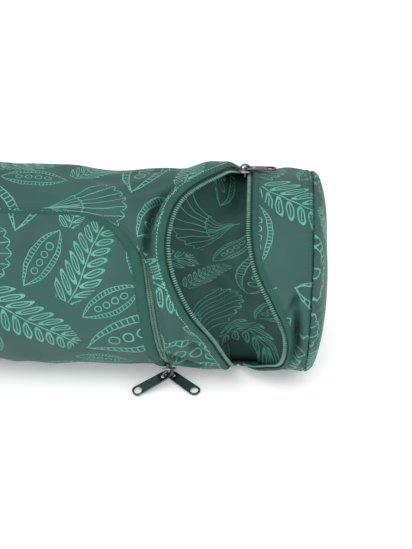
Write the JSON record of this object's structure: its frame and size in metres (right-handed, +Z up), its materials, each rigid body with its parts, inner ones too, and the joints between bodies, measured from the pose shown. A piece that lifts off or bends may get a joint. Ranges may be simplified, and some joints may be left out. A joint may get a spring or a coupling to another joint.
{
  "type": "yoga mat bag",
  "caption": "Round printed cloth bag for a rolled mat, lying down, with a long zipped flap and an open zipped pocket at one end.",
  "frame": {"origin": "middle of the bag's box, on the surface that it lies on", "axes": "+X along the bag towards the pocket, +Z up, -Y towards the flap and the viewer"},
  "size_m": [0.6786, 0.1606, 0.1627],
  "materials": {
    "printed_cloth": "matt woven canvas, dark teal green with a mint line print",
    "inner_cloth": "matt woven canvas, the same print, in shade",
    "plain_tape": "plain dark green woven tape",
    "zip_coil": "satin nylon zip coil",
    "zip_metal": "dark gunmetal plate, slightly worn",
    "pull_insert": "satin dark green insert"
  },
  "bodies": {
    "bag": {"body_shell": "printed_cloth", "end_panel": "printed_cloth", "end_cap_right": "printed_cloth", "end_cap_left": "printed_cloth", "flap_panel": "printed_cloth", "flap_welt": "plain_tape", "flap_welt_left": "plain_tape", "flap_zip_teeth": "zip_coil", "flap_zip_tape": "plain_tape", "pocket_back": "inner_cloth", "pocket_tape_left": "plain_tape", "pocket_teeth_left": "zip_coil", "pocket_tape_right": "plain_tape", "pocket_teeth_right": "zip_coil", "flap_slider_left": "zip_metal", "flap_slider_right": "zip_metal", "pocket_slider": "zip_metal"},
    "flap_pull_left": {"flap_pull_left": "zip_metal", "flap_pull_left_insert": "pull_insert"},
    "flap_pull_right": {"flap_pull_right": "zip_metal", "flap_pull_right_insert": "pull_insert"},
    "pocket_pull": {"pocket_pull": "zip_metal", "pocket_pull_insert": "pull_insert"}
  },
  "joints": [
    {"name": "flap_pull_left_hinge", "type": "hinge", "parent": "bag", "child": "flap_pull_left", "pos_m": [0.21724, -0.05471, 0.01147], "axis": [-0.495, 0.8531, 0.1651], "range_deg": [0, 25]},
    {"name": "flap_pull_right_hinge", "type": "hinge", "parent": "bag", "child": "flap_pull_right", "pos_m": [0.21879, -0.04517, 0.00449], "axis": [-0.6461, -0.7506, -0.1386], "range_deg": [0, 25]},
    {"name": "pocket_pull_hinge", "type": "hinge", "parent": "bag", "child": "pocket_pull", "pos_m": [0.273, 0.02314, 0.15673], "axis": [0, -0.9613, 0.2756], "range_deg": [0, 150]}
  ]
}
